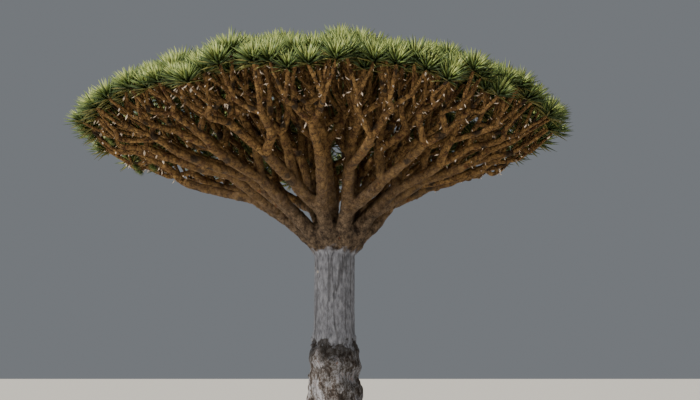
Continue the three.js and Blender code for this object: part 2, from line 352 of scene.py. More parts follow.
@dataclass(frozen=True)
class Limb:
    """One limb from its parent's fork to its own, on a curve that first leans away from its sister."""

    patch: Patch
    start: np.ndarray
    heading: np.ndarray
    level: int
    is_twig: bool = False

    @property
    def end(self) -> np.ndarray:
        """Where the limb forks, or where its rosette sits."""
        return self.patch.top if self.is_twig else self.patch.along(self.patch.fork_at)

    @property
    def last_heading(self) -> np.ndarray:
        """The direction that the limb ends in."""
        return self.patch.facing() if self.is_twig else self.patch.heading_at(self.patch.fork_at)

    @property
    def poles(self) -> np.ndarray:
        """The limb's Bezier curve.

        Returns:
            Its four points, one in each row.
        """
        way = self.end - self.start
        length = np.linalg.norm(way)
        aside = unit(way - self.heading * way.dot(self.heading))
        first = unit(self.heading + GROWTH.fork_spread * aside)
        second = self.start + first * GROWTH.start_pull * length
        pull = GROWTH.twig_pull if self.is_twig else GROWTH.end_pull
        third = self.end - self.last_heading * pull * length
        return np.array([self.start, second, third, self.end])

    def frame_at(self, u: np.ndarray) -> tuple[np.ndarray, np.ndarray, np.ndarray]:
        """Gives the limb's centre line and two directions across it.

        Args:
            u: How far along the limb, from 0 to 1, for each place.

        Returns:
            The points, and two directions at right angles to the limb and to each other.
        """
        p = self.poles
        v = 1.0 - u
        points = (
            np.outer(v**3, p[0])
            + np.outer(3 * v**2 * u, p[1])
            + np.outer(3 * v * u**2, p[2])
            + np.outer(u**3, p[3])
        )
        tangents = unit(
            np.outer(3 * v**2, p[1] - p[0])
            + np.outer(6 * v * u, p[2] - p[1])
            + np.outer(3 * u**2, p[3] - p[2])
        )
        side = np.array([-math.sin(self.patch.bearing), math.cos(self.patch.bearing), 0.0])
        across = unit(side - tangents * (tangents @ side)[:, None])
        return points, across, np.cross(tangents, across)

    def radius_at(self, u: np.ndarray) -> np.ndarray:
        """Gives the limb's radius, which swells a little with every season's growth.

        Args:
            u: How far along the limb, from 0 to 1, for each place.

        Returns:
            The radii.
        """
        plain = self.patch.radius * (GROWTH.root_width - GROWTH.taper * u)
        length = np.linalg.norm(self.end - self.start)
        seasons = max(1, round(length / GROWTH.season_length))
        shift = GROWTH.swelling_shift * sway(self.patch.key, Use.SWELLING)
        swelling = np.abs(np.sin(math.pi * seasons * u + shift))
        return plain * (GROWTH.waist + GROWTH.swelling * swelling)

    def daughters(self) -> list["Limb"]:
        """Gives the two limbs that grow on from this one.

        Returns:
            The limbs. Those whose patches are small enough are twigs that end in rosettes.
        """
        root = (self.end, self.last_heading, self.level + 1)
        return [Limb(half, *root, half.is_last) for half in self.patch.halves()]

    def grown(self) -> Iterator["Limb"]:
        """Gives the limb and every limb that grows on from it.

        Yields:
            Each limb, before those that grow on from it.
        """
        yield self
        if not self.is_twig:
            for daughter in self.daughters():
                yield from daughter.grown()


def ring_patches(count: int, key: int, inner: float, outer: float, first: float) -> list[Patch]:
    """Gives the equal patches between two radii of the crown.

    Args:
        count: How many there are.
        key: The first one's key.
        inner: The inner radius, as a share of the crown's.
        outer: The outer radius, as a share of the crown's.
        first: The bearing of the first one's middle.

    Returns:
        The patches.
    """
    step = TURN / count
    starts = [first + step * (i - 0.5) for i in range(count)]
    return [Patch(key + i, inner, outer, at, at + step) for i, at in enumerate(starts)]


def root_limbs() -> list[Limb]:
    """Gives the boughs that grow out of the trunk.

    Returns:
        The outer boughs, then the inner ones.
    """
    g = GROWTH
    inner_key = g.first_key + g.outer_boughs
    patches = [
        *ring_patches(g.outer_boughs, g.first_key, g.inner_share, 1.0, g.first_outer_bearing),
        *ring_patches(g.inner_boughs, inner_key, 0.0, g.inner_share, g.first_inner_bearing),
    ]
    return [Limb(patch, patch.along(g.start), patch.heading_at(g.start), 0) for patch in patches]


# Meshes


@dataclass
class Arrays:
    """Points and faces that are gathered before they become one mesh."""

    points: list[np.ndarray] = field(default_factory=list)
    faces: list[list[int]] = field(default_factory=list)
    count: int = 0

    def add(self, points: np.ndarray, faces: list[list[int]]) -> None:
        """Adds a closed surface.

        Args:
            points: Its points, one in each row.
            faces: Its faces, as indices into those points.
        """
        self.faces += [[corner + self.count for corner in face] for face in faces]
        self.points.append(points)
        self.count += len(points)

    def add_rings(self, rings: np.ndarray) -> None:
        """Adds a tube that is closed at both ends.

        Args:
            rings: The tube's rings, each with the same number of points.
        """
        count, sides = rings.shape[:2]
        faces = [list(range(sides))[::-1], list(range((count - 1) * sides, count * sides))]
        for row in range(count - 1):
            low = row * sides
            for i in range(sides):
                j = (i + 1) % sides
                faces.append([low + i, low + j, low + sides + j, low + sides + i])
        self.add(rings.reshape(-1, 3), faces)

    def mesh(self, name: str) -> bpy.types.Mesh:
        """Makes the mesh.

        Args:
            name: The mesh's name.

        Returns:
            The mesh.
        """
        mesh = bpy.data.meshes.new(name)
        mesh.from_pydata(np.concatenate(self.points).tolist(), [], self.faces)
        mesh.update()
        return mesh


def show(name: str, mesh: bpy.types.Mesh) -> bpy.types.Object:
    """Puts a mesh into the scene.

    Args:
        name: The object's name.
        mesh: The mesh.

    Returns:
        The object, at the origin.
    """
    piece = bpy.data.objects.new(name, mesh)
    bpy.context.scene.collection.objects.link(piece)
    return piece


def settle(piece: bpy.types.Object) -> None:
    """Gives an object the plain mesh that its modifiers make, and removes them.

    Args:
        piece: The object.
    """
    graph = bpy.context.evaluated_depsgraph_get()
    mesh = bpy.data.meshes.new_from_object(piece.evaluated_get(graph))
    piece.modifiers.clear()
    piece.data = mesh


def shade_smooth(mesh: bpy.types.Mesh) -> None:
    """Makes every face of a mesh smooth.

    Args:
        mesh: The mesh.
    """
    mesh.polygons.foreach_set("use_smooth", np.ones(len(mesh.polygons), dtype=bool))


def triangles(mesh: bpy.types.Mesh) -> int:
    """Counts a mesh's triangles.

    Args:
        mesh: The mesh.

    Returns:
        The number of triangles.
    """
    return sum(len(face.vertices) - 2 for face in mesh.polygons)


# Node trees


def add_node(
    tree: bpy.types.NodeTree,
    kind: str,
    inputs: dict[int | str, object] | None = None,
    output: int | str = 0,
    **settings: object,
) -> bpy.types.NodeSocket | None:
    """Adds a node, sets it and links it.

    Args:
        tree: The tree that it goes into.
        kind: The node's type.
        inputs: For each input's name or number, a value or the socket that feeds it.
        output: The name or number of the output that is wanted.
        **settings: The node's own properties.

    Returns:
        The wanted output's socket, or nothing for a node that has none.
    """
    made = tree.nodes.new(kind)
    for name, value in settings.items():
        setattr(made, name, value)
    for name, value in (inputs or {}).items():
        if isinstance(value, bpy.types.NodeSocket):
            tree.links.new(value, made.inputs[name])
        else:
            made.inputs[name].default_value = value
    return made.outputs[output] if made.outputs else None


def linear(colour: str) -> tuple[float, float, float, float]:
    """Turns an sRGB colour into the linear one that shaders take.

    Args:
        colour: The colour, as "#rrggbb".

    Returns:
        Red, green, blue and alpha.
    """
    parts = [int(colour[i : i + 2], 16) / 255.0 for i in (1, 3, 5)]
    red, green, blue = (
        part / 12.92 if part <= 0.04045 else ((part + 0.055) / 1.055) ** 2.4 for part in parts
    )
    return (red, green, blue, 1.0)


def geometry_tree(
    name: str, inputs: dict[str, str]
) -> tuple[bpy.types.NodeTree, bpy.types.NodeOutputs]:
    """Starts a Geometry Nodes tree.

    Args:
        name: The tree's name.
        inputs: Its inputs' names and socket types, after the geometry.

    Returns:
        The tree, and the sockets of its inputs.
    """
    tree = bpy.data.node_groups.new(name, "GeometryNodeTree")
    tree.interface.new_socket("Geometry", in_out="INPUT", socket_type="NodeSocketGeometry")
    for label, kind in inputs.items():
        tree.interface.new_socket(label, in_out="INPUT", socket_type=kind)
    tree.interface.new_socket("Geometry", in_out="OUTPUT", socket_type="NodeSocketGeometry")
    return tree, tree.nodes.new("NodeGroupInput").outputs


def finish_tree(
    tree: bpy.types.NodeTree, geometry: bpy.types.NodeSocket, material: bpy.types.NodeSocket
) -> None:
    """Ends a Geometry Nodes tree with real copies and their material.

    Args:
        tree: The tree.
        geometry: The geometry that it has made.
        material: The material.
    """
    whole = add_node(tree, "GeometryNodeRealizeInstances", {0: geometry})
    painted = add_node(tree, "GeometryNodeSetMaterial", {"Geometry": whole, "Material": material})
    add_node(tree, "NodeGroupOutput", {0: painted})


def run_tree(piece: bpy.types.Object, tree: bpy.types.NodeTree, values: dict[str, object]) -> None:
    """Runs a Geometry Nodes tree on an object, whose mesh becomes the result.

    Args:
        piece: The object.
        tree: The tree.
        values: A value for each of its named inputs.
    """
    modifier = piece.modifiers.new(tree.name, "NODES")
    modifier.node_group = tree
    for item in tree.interface.items_tree:
        if item.in_out == "INPUT" and item.name in values:
            modifier[item.identifier] = values[item.name]
    settle(piece)


# Finishes


@dataclass(frozen=True)
class Canvas:
    """The node tree that a bark is drawn in, with the coordinates and the height there."""

    tree: bpy.types.NodeTree
    place: bpy.types.NodeSocket
    height: bpy.types.NodeSocket

    def uneven_height(self, size: float, depth: float) -> bpy.types.NodeSocket:
        """Gives the height with an uneven part added, for a ragged edge.

        Args:
            size: How wide the edge's waves are.
            depth: How far they reach up and down.

        Returns:
            The uneven height.
        """
        waves = {"Vector": self.place, "Scale": 1.0 / size, "Detail": 4.0}
        edge = add_node(self.tree, "ShaderNodeTexNoise", waves)
        down = {0: self.height, 1: depth / 2.0}
        lowered = add_node(self.tree, "ShaderNodeMath", down, operation="SUBTRACT")
        parts = {0: edge, 1: depth, 2: lowered}
        return add_node(self.tree, "ShaderNodeMath", parts, operation="MULTIPLY_ADD")


@dataclass(frozen=True)
class Marks:
    """Small ragged spots on bark: their tone, how far apart they are, and their radius.

    A spot fades out between two shares of its radius, and its edge has so many waves to a radius.
    """

    tone: str
    spacing: float
    size: float
    strength: float = 0.9
    fade_from: float = 0.7
    fade_to: float = 1.1
    waves: float = 1.2

    def over(self, canvas: Canvas, colour: bpy.types.NodeSocket) -> bpy.types.NodeSocket:
        """Draws the spots over a colour.

        Args:
            canvas: Where they are drawn.
            colour: The colour under them.

        Returns:
            The colour with the spots.
        """
        tree, place = canvas.tree, canvas.place
        rough = {"Vector": place, "Scale": self.waves / self.size, "Detail": 3.0}
        uneven = add_node(tree, "ShaderNodeTexNoise", rough)
        uneven = add_node(tree, "ShaderNodeMath", {0: uneven, 1: 0.5}, operation="ADD")
        cells = {"Vector": place, "Scale": 1.0 / self.spacing}
        away = add_node(tree, "ShaderNodeTexVoronoi", cells, "Distance")
        ragged = add_node(tree, "ShaderNodeMath", {0: away, 1: uneven}, operation="MULTIPLY")
        edge = self.size / self.spacing
        ends = {"From Min": self.fade_from * edge, "From Max": self.fade_to * edge}
        fade = {"Value": ragged, **ends, "To Min": self.strength, "To Max": 0.0}
        spots = add_node(tree, "ShaderNodeMapRange", fade)
        tones = {"Factor": spots, 6: colour, 7: linear(self.tone)}
        return add_node(tree, "ShaderNodeMix", tones, 2, data_type="RGBA")


@dataclass(frozen=True)
class Scabs:
    """Dried resin that covers bark below a height, up to a ragged dark edge.

    Each tone has its place between the hollows, 0, and the lumps, 1. The edge is soft over twice its
    softness, and dark over its depth below that.
    """

    below: float
    tones: tuple[tuple[float, str], ...]
    edge_tone: str
    size: float = 143 * MM
    stretch: float = 1.43
    edge_size: float = 143 * MM
    edge_unevenness: float = 600 * MM
    edge_softness: float = 20 * MM
    edge_depth: float = 200 * MM
    edge_darkness: float = 0.8

    def over(self, canvas: Canvas, colour: bpy.types.NodeSocket) -> bpy.types.NodeSocket:
        """Draws the scabs over a colour, below their height.

        Args:
            canvas: Where they are drawn.
            colour: The colour of the bark.

        Returns:
            The colour with the scabs.
        """
        tree = canvas.tree
        scale = (1.0, 1.0, 1.0 / self.stretch)
        stretched = add_node(tree, "ShaderNodeMapping", {"Vector": canvas.place, "Scale": scale})
        lumps = {"Vector": stretched, "Scale": 1.0 / self.size, "Detail": 8.0, "Roughness": 0.85}
        lumps = add_node(tree, "ShaderNodeTexNoise", lumps)
        tones = add_node(tree, "ShaderNodeValToRGB", {"Fac": lumps})
        stops = tones.node.color_ramp.elements
        while len(stops) < len(self.tones):
            stops.new(0.5)
        for stop, (position, tone) in zip(stops, self.tones):
            stop.position = position
            stop.color = linear(tone)
        level = canvas.uneven_height(self.edge_size, self.edge_unevenness)
        low = self.below - self.edge_softness
        rim = {"From Min": low - self.edge_depth, "From Max": low, "To Max": self.edge_darkness}
        dark = add_node(tree, "ShaderNodeMapRange", {"Value": level, **rim})
        both = {"Factor": dark, 6: tones, 7: linear(self.edge_tone)}
        covered = add_node(tree, "ShaderNodeMix", both, 2, data_type="RGBA")
        high = self.below + self.edge_softness
        fade = {"From Min": low, "From Max": high, "To Min": 1.0, "To Max": 0.0}
        below = add_node(tree, "ShaderNodeMapRange", {"Value": level, **fade})
        both = {"Factor": below, 6: colour, 7: covered}
        return add_node(tree, "ShaderNodeMix", both, 2, data_type="RGBA")


@dataclass(frozen=True)
class BarkFinish:
    """Dry fibrous bark: two-tone patches, cracks darkened as painted shade, marks, and scabs of dried
    resin.

    Patches and cracks are drawn out upright by their stretch. Between its dark and its pale level, a
    noise turns the tone into the pale one. Above its height the upper finish takes over bit by bit.
    """

    name: str
    tone: str
    pale_tone: str
    crack_shade_tone: str
    crack_spacing: float
    crack_stretch: float
    crack_shade_strength: float
    patch_size: float
    patch_stretch: float = 1.0
    dark_level: float = 0.35
    pale_level: float = 0.68
    crack_width: float = 0.06  # share of the spacing
    crack_wander: float = 1.3
    scabs: Scabs | None = None
    marks: tuple[Marks, ...] = ()
    upper: "BarkFinish | None" = None
    upper_from: float = 0.0
    upper_over: float = 60 * MM
    edge_size: float = 143 * MM
    edge_unevenness: float = 300 * MM
    relief: float = 8 * MM
    relief_strength: float = 0.8
    roughness: float = 0.9
    gloss: float = 0.25

    def material(self) -> bpy.types.Material:
        """Makes the bark's material.

        Returns:
            The material.
        """
        material = bpy.data.materials.new(self.name)
        material.use_nodes = True
        tree = material.node_tree
        shader = tree.nodes["Principled BSDF"]
        shader.inputs["Roughness"].default_value = self.roughness
        shader.inputs["Specular IOR Level"].default_value = self.gloss
        place = add_node(tree, "ShaderNodeTexCoord", output="Object")
        height = add_node(tree, "ShaderNodeSeparateXYZ", {0: place}, "Z")
        colour, cracks = self.surface(Canvas(tree, place, height))
        tree.links.new(colour, shader.inputs["Base Color"])
        depth = {"Height": cracks, "Strength": self.relief_strength, "Distance": -self.relief}
        tree.links.new(add_node(tree, "ShaderNodeBump", depth), shader.inputs["Normal"])
        return material

    def surface(self, canvas: Canvas) -> tuple[bpy.types.NodeSocket, bpy.types.NodeSocket]:
        """Draws the bark.

        Args:
            canvas: Where it is drawn.

        Returns:
            The colour, and the cracks' depth from 0 to 1.
        """
        tree = canvas.tree
        scale = (1.0, 1.0, 1.0 / self.patch_stretch)
        stretched = add_node(tree, "ShaderNodeMapping", {"Vector": canvas.place, "Scale": scale})
        often = 1.0 / self.patch_size
        patches = {"Vector": stretched, "Scale": often, "Detail": 6.0, "Roughness": 0.65}
        patches = add_node(tree, "ShaderNodeTexNoise", patches)
        spread = {"Value": patches, "From Min": self.dark_level, "From Max": self.pale_level}
        pale = add_node(tree, "ShaderNodeMapRange", spread)
        tones = {"Factor": pale, 6: linear(self.tone), 7: linear(self.pale_tone)}
        colour = add_node(tree, "ShaderNodeMix", tones, 2, data_type="RGBA")
        for marks in self.marks:
            colour = marks.over(canvas, colour)
        if self.scabs:
            colour = self.scabs.over(canvas, colour)
        cracks = self._cracks(canvas)
        # The cracks are mixed towards their dark tone: painted shade in the cracks, over the bump's
        # relief.
        dark = {0: cracks, 1: self.crack_shade_strength}
        dark = add_node(tree, "ShaderNodeMath", dark, operation="MULTIPLY")
        tones = {"Factor": dark, 6: colour, 7: linear(self.crack_shade_tone)}
        colour = add_node(tree, "ShaderNodeMix", tones, 2, data_type="RGBA")
        if self.upper:
            level = canvas.uneven_height(self.edge_size, self.edge_unevenness)
            end = self.upper_from + self.upper_over
            band = {"Value": level, "From Min": self.upper_from, "From Max": end}
            above = add_node(tree, "ShaderNodeMapRange", band)
            upper_colour, upper_cracks = self.upper.surface(canvas)
            both = {"Factor": above, 6: colour, 7: upper_colour}
            colour = add_node(tree, "ShaderNodeMix", both, 2, data_type="RGBA")
            both = {"Factor": above, 6: cracks, 7: upper_cracks}
            cracks = add_node(tree, "ShaderNodeMix", both, 2, data_type="RGBA")
        return colour, cracks

    def _cracks(self, canvas: Canvas) -> bpy.types.NodeSocket:
        """Draws the cracks, as the edges of wandering cells.

        Args:
            canvas: Where they are drawn.

        Returns:
            The cracks' depth, from 0 to 1.
        """
        tree = canvas.tree
        across = 1.0 / self.crack_spacing
        scale = (across, across, across / self.crack_stretch)
        scaled = add_node(tree, "ShaderNodeMapping", {"Vector": canvas.place, "Scale": scale})
        waves = {"Vector": scaled, "Scale": self.crack_wander}
        wander = add_node(tree, "ShaderNodeTexNoise", waves, "Color")
        bent = add_node(tree, "ShaderNodeVectorMath", {0: scaled, 1: wander}, operation="ADD")
        cells = {"Vector": bent, "Scale": 1.0}
        away = add_node(tree, "ShaderNodeTexVoronoi", cells, "Distance", feature="DISTANCE_TO_EDGE")
        fade = {"Value": away, "From Max": self.crack_width, "To Min": 1.0, "To Max": 0.0}
        return add_node(tree, "ShaderNodeMapRange", fade)


@dataclass(frozen=True)
class LeafFinish:
    """The skin of a leaf, waxy while it lives, in one plain colour."""

    name: str
    colour: str
    roughness: float = 0.5
    gloss: float = 0.3

    def material(self) -> bpy.types.Material:
        """Makes the leaf's material.

        Returns:
            The material.
        """
        material = bpy.data.materials.new(self.name)
        material.use_nodes = True
        shader = material.node_tree.nodes["Principled BSDF"]
        shader.inputs["Base Color"].default_value = linear(self.colour)
        shader.inputs["Roughness"].default_value = self.roughness
        shader.inputs["Specular IOR Level"].default_value = self.gloss
        return material


# Fibrous dragon tree bark, dried by the sun. It scatters the light, so the eye sees no gloss, but
# ochre ridges a few centimetres wide between near-black cracks, and old wounds that weathered dark.
# The pale ochre of its patches is partly a painted sunlit highlight, and the cracks' near-black is
# painted shade.
BOUGH_BARK = BarkFinish(
    name="ochre_dragon_tree_bark",
    tone="#4e3220",
    # Painted highlight, partly: the pale ochre, dealt out in patches, stands in for sunlit bark.
    pale_tone="#a5824f",
    # Near-black tone of the cracks: painted shade.
    crack_shade_tone="#120a06",
    crack_spacing=60 * MM,
    crack_stretch=1.3,
    crack_shade_strength=0.75,
    patch_size=77 * MM,
    marks=(Marks("#332a22", 260 * MM, 70 * MM),),
    relief=20 * MM,
)

# The same bark where the boughs part, older and greyer, and darker: that darkness is partly painted
# shade under the crown, so the boughs are darker low down. The eye sees grey-brown, flecked with
# rusty knobs, that turns ochre over the next metre.
HEAD_BARK = BarkFinish(
    name="grey_brown_dragon_tree_bark",
    tone="#382d25",
    pale_tone="#85715c",
    # Near-black tone of the cracks: painted shade.
    crack_shade_tone="#0f0a08",
    crack_spacing=50 * MM,
    crack_stretch=2.0,
    crack_shade_strength=0.8,
    patch_size=91 * MM,
    marks=(Marks("#6b3218", 300 * MM, 40 * MM),),
    # Painted shade, partly: the boughs keep the darker grey-brown below this band and turn ochre above
    # it.
    upper=BOUGH_BARK,
    upper_from=3.35,
    upper_over=1100 * MM,
)

# The trunk's old bark, weathered grey. The eye sees long upright streaks, dark pits and pale scars of
# cuts, and low down black to rusty scabs where red resin has run and dried. The streaks are drawn
# as coarse as they need to show: the real fibres are a few millimetres wide.
TRUNK_BARK = BarkFinish(
    name="grey_dragon_tree_bark",
    tone="#65666e",
    pale_tone="#a2a4ae",
    # Dark tone of the long upright cracks: painted shade.
    crack_shade_tone="#2b2725",
    crack_spacing=150 * MM,
    crack_stretch=14.0,
    crack_shade_strength=0.55,
    patch_size=38 * MM,
    patch_stretch=2.5,
    scabs=Scabs(
        below=1.74,
        tones=(
            (0.37, "#120d0a"),
            (0.45, "#463c36"),
            (0.51, "#747171"),
            (0.57, "#9a9ba4"),
            (0.63, "#8a6b57"),
            (0.7, "#5a3422"),
        ),
        edge_tone="#2b2725",
    ),
    marks=(Marks("#1c1714", 330 * MM, 25 * MM), Marks("#d6cdc4", 260 * MM, 26 * MM)),
    upper=HEAD_BARK,
    upper_from=3.06,
)

# Dead leaf scraps, bleached and papery: pale flecks with no gloss. Their near-white tone is also a
# painted highlight, standing in for sky and back-lit leaf bits seen between the limbs.
DRY_SCRAPS_AND_HIGHLIGHT_FINISH = LeafFinish("dry_leaf_scraps", "#fbe9d6", roughness=0.8)


@dataclass(frozen=True)
class Row:
    """A row of a rosette's leaves, all of one age.

    Its angles are from the rosette's axis, and its length is a share of a full leaf's.
    """

    leaves: int
    least_angle: float
    greatest_angle: float
    length: float
    finish: LeafFinish


class Tier(Enum):
    """The rows of a rosette, from its middle outwards.

    Sword leaves have a waxy skin, which gives them a dull sheen. The youngest stand upright and are
    yellow-green, the full ones green, the mature ones blue-green, and the oldest lie flat, olive. The
    youngest are also made paler as a painted highlight on the rosette's lit top, and the mature ones
    darker as painted shade under the rows above them.
    """

    # The young row's pale yellow-green is partly a painted highlight.
    YOUNG = Row(11, 0.04, 0.5, 0.9, LeafFinish("fresh_sword_leaf", "#95a058"))
    FULL = Row(20, 0.3, 0.95, 1.0, LeafFinish("green_sword_leaf", "#697a40"))
    # The mature row's dark blue-green is partly painted shade.
    MATURE = Row(19, 0.6, 1.3, 1.0, LeafFinish("blue_green_sword_leaf", "#40522c"))
    OLD = Row(8, 1.15, 1.6, 0.85, LeafFinish("yellowing_sword_leaf", "#72703a"))


# Sub-assemblies


@dataclass
class Part(ABC):
    """A sub-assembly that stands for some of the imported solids, in one of the material slots."""

    slot: Slot
    nodes: list[str]

    @abstractmethod
    def build(self) -> list[bpy.types.Object]:
        """Builds the sub-assembly.

        Returns:
            Its pieces.
        """

    def dress(self, pieces: list[bpy.types.Object]) -> None:
        """Attaches each finished piece to the root body, hides the solids it stands for, and reports
        it.

        Args:
            pieces: The pieces.
        """
        for piece in pieces:
            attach(piece, ROOT)
            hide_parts(*self.nodes)
            counts = (piece.name, triangles(piece.data), len(self.nodes))
            log.info("%s: %d triangles, for %d solids", *counts)


@dataclass(frozen=True)
class KnobBand:
    """Knobs scattered over a band of the trunk: how many, between which heights, and how large.

    Each has the least share of the size and of the depth, and up to the extra share more. A negative
    depth makes hollows.
    """

    count: int
    low: float
    high: float
    size: float
    depth: float
    least_size: float = 0.6
    extra_size: float = 0.8
    least_depth: float = 0.4
    extra_depth: float = 1.2


@dataclass(frozen=True)
class Lobes:
    """The solids' own swellings of the trunk: how deep, as shares of its radius, and where."""

    bulge_depth: float = 0.085
    bulge_middle: float = 1.25
    bulge_reach: float = 0.62
    bulge_counts: tuple[int, int] = (3, 2)
    bulge_waves: tuple[float, float] = (0.13, 0.095)
    bulge_turn: float = 1.0
    flare_depth: float = 0.1
    flare_reach: float = 0.32
    flare_count: int = 5
    flare_turn: float = 0.6
    head_depth: float = 0.06
    head_from: float = 3.0

    def at(self, height: np.ndarray, angle: np.ndarray) -> np.ndarray:
        """Gives the swelling of each point.

        Args:
            height: The height of each point.
            angle: The bearing of each point.

        Returns:
            How far each point is raised, as a share of the radius.
        """
        reach = np.exp(-(((height - self.bulge_middle) / self.bulge_reach) ** 2))
        one, other = self.bulge_counts
        rise, fall = self.bulge_waves
        bumps = np.sin(one * angle + height / rise)
        bumps = bumps * np.sin(other * angle - height / fall + self.bulge_turn)
        foot = np.exp(-height / self.flare_reach)
        flare = foot * np.cos(self.flare_count * angle + self.flare_turn)
        turned = GROWTH.outer_boughs * (angle - GROWTH.first_outer_bearing)
        head = np.where(height > self.head_from, np.cos(turned), 0.0)
        return self.bulge_depth * reach * bumps + self.flare_depth * flare + self.head_depth * head


@dataclass(frozen=True)
class Trunk:
    """The trunk's surface before its bark is worked: the solids' profile, with knobs and hollows.

    Each stop of the profile is a height, and the radius there as a share of the plain trunk's.
    """

    rows: int = 120
    sides: int = 110
    lobes: Lobes = Lobes()
    bands: tuple[KnobBand, ...] = (
        KnobBand(90, 0.7, 1.75, 0.05, 0.025),
        KnobBand(12, 1.7, 1.95, 0.035, 0.04),
        KnobBand(20, 1.9, 3.0, 0.03, -0.02),
        KnobBand(14, 3.1, 3.26, 0.045, 0.035),
    )
    shaft: tuple[tuple[float, float], ...] = (
        (0.0, 1.62),
        (0.11, 1.45),
        (0.35, 1.3),
        (0.8, 1.22),
        (1.08, 1.27),
        (1.25, 1.19),
        (1.44, 1.25),
        (1.66, 1.2),
        (1.75, 1.05),
        (2.1, 1.0),
        (3.0, 1.0),
        (3.09, 1.12),
    )
    head: tuple[tuple[float, float], ...] = ((3.19, 0.84), (3.31, 1.0), (3.43, 0.9), (3.5, 0.55))

    def rings(self) -> np.ndarray:
        """Gives the trunk's surface.

        Returns:
            One ring of points for each height.
        """
        stops = [(height, share * GROWTH.trunk_radius) for height, share in self.shaft]
        stops += [(height, share * GROWTH.head_radius) for height, share in self.head]
        heights = np.linspace(0.0, stops[-1][0], self.rows)
        plain = np.interp(heights, *zip(*stops))
        angles = GROWTH.first_outer_bearing + TURN * np.arange(self.sides) / self.sides
        height, angle = np.meshgrid(heights, angles, indexing="ij")
        out = plain[:, None] * (1.0 + self.lobes.at(height, angle)) + self._knobs(height, angle)
        lean = height / GROWTH.fork_height
        x = GROWTH.lean[0] * lean + out * np.cos(angle)
        y = GROWTH.lean[1] * lean + out * np.sin(angle)
        return np.stack([x, y, height], axis=-1)

    def _knobs(self, height: np.ndarray, angle: np.ndarray) -> np.ndarray:
        """Gives the knobs of old cuts and resin, and a few small hollows.

        Args:
            height: The height of each point.
            angle: The bearing of each point.

        Returns:
            How far each point is raised.
        """
        relief = np.zeros_like(height)
        for kind, band in enumerate(self.bands):
            for i in range(band.count):
                key = 100 * kind + i
                middle = band.low + (band.high - band.low) * chance(key, Use.KNOB_HEIGHT)
                bearing = TURN * chance(key, Use.KNOB_BEARING)
                size = band.size * (band.least_size + band.extra_size * chance(key, Use.KNOB_SIZE))
                deep = band.least_depth + band.extra_depth * chance(key, Use.KNOB_DEPTH)
                round_way = GROWTH.trunk_radius * np.angle(np.exp(1j * (angle - bearing)))
                away = (round_way**2 + (height - middle) ** 2) / size**2
                relief += band.depth * deep * np.exp(-away)
        return relief


@dataclass
class BarkSkin(Part):
    """Limbs grown into one skin, and the bark's relief on it.

    The voxel is the size of the skin's squares. The cracks' width is a share of their spacing, and the
    smooth share is how much of the relief is left below its height.
    """

    name: str
    limbs: list[Limb]
    finish: BarkFinish
    voxel: float
    trunk: Trunk | None = None
    sides: int = 20
    rows: int = 14
    softening: float = 0.5
    soft_rounds: int = 3
    crack_depth: float = 6 * MM
    crack_spacing: float = 45 * MM
    crack_stretch: float = 5.0
    crack_width: float = 0.25
    crack_wander: float = 0.9
    knob_depth: float = 30 * MM
    knob_spacing: float = 71 * MM
    smooth_below: float = 3.1
    smooth_share: float = 0.35
    smooth_over: float = 200 * MM
    ground_band: float = 12 * MM

    def build(self) -> list[bpy.types.Object]:
        """Builds the skin with its relief.

        Returns:
            The piece.
        """
        arrays = Arrays()
        if self.trunk:
            arrays.add_rings(self.trunk.rings())
        for limb in self.limbs:
            arrays.add_rings(limb_rings(limb, self.sides, self.rows))
        piece = show(self.name, arrays.mesh(self.name))
        remesh = piece.modifiers.new("grown_together", "REMESH")
        remesh.mode = "VOXEL"
        remesh.voxel_size = self.voxel
        soften = piece.modifiers.new("softened", "SMOOTH")
        soften.factor = self.softening
        soften.iterations = self.soft_rounds
        settle(piece)
        relief = {
            "Crack depth": self.crack_depth,
            "Crack spacing": self.crack_spacing,
            "Crack stretch": self.crack_stretch,
            "Crack width": self.crack_width,
            "Crack wander": self.crack_wander,
            "Knob depth": self.knob_depth,
            "Knob spacing": self.knob_spacing,
            "Smooth from": self.smooth_below - self.smooth_over / 2.0,
            "Smooth to": self.smooth_below + self.smooth_over / 2.0,
            "Smooth share": self.smooth_share,
            "Material": self.finish.material(),
        }
        run_tree(piece, bark_relief_tree(), relief)
        self._cut_level(piece.data)
        shade_smooth(piece.data)
        return [piece]

    def _cut_level(self, mesh: bpy.types.Mesh) -> None:
        """Flattens the foot at ground level.

        Args:
            mesh: The skin's mesh.
        """
        points = np.empty(3 * len(mesh.vertices))
        mesh.vertices.foreach_get("co", points)
        points = points.reshape(-1, 3)
        points[:, 2] = np.where(points[:, 2] < self.ground_band, 0.0, points[:, 2])
        mesh.vertices.foreach_set("co", points.ravel())
        mesh.update()


def limb_rings(limb: Limb, sides: int, rows: int) -> np.ndarray:
    """Gives a limb's surface, with a rounded end.

    Args:
        limb: The limb.
        sides: The number of points in each ring.
        rows: The number of rings along it.

    Returns:
        The rings.
    """
    u = np.linspace(0.0, 1.0, rows)
    points, across, upward = limb.frame_at(u)
    radii = limb.radius_at(u)
    if limb.level == 0:
        radii = radii * (1.0 + GROWTH.collar * (1.0 - u) ** GROWTH.collar_power)
    ends = np.array(CAP_RINGS)
    heading = limb.last_heading
    points = np.vstack([points, points[-1] + np.outer(ends * radii[-1], heading)])
    radii = np.concatenate([radii, radii[-1] * np.sqrt(1.0 - ends**2)])
    across = np.vstack([across, across[-1:], across[-1:]])
    upward = np.vstack([upward, upward[-1:], upward[-1:]])
    angles = TURN * np.arange(sides)[None, :, None] / sides
    spin = np.cos(angles) * across[:, None] + np.sin(angles) * upward[:, None]
    return points[:, None] + radii[:, None, None] * spin


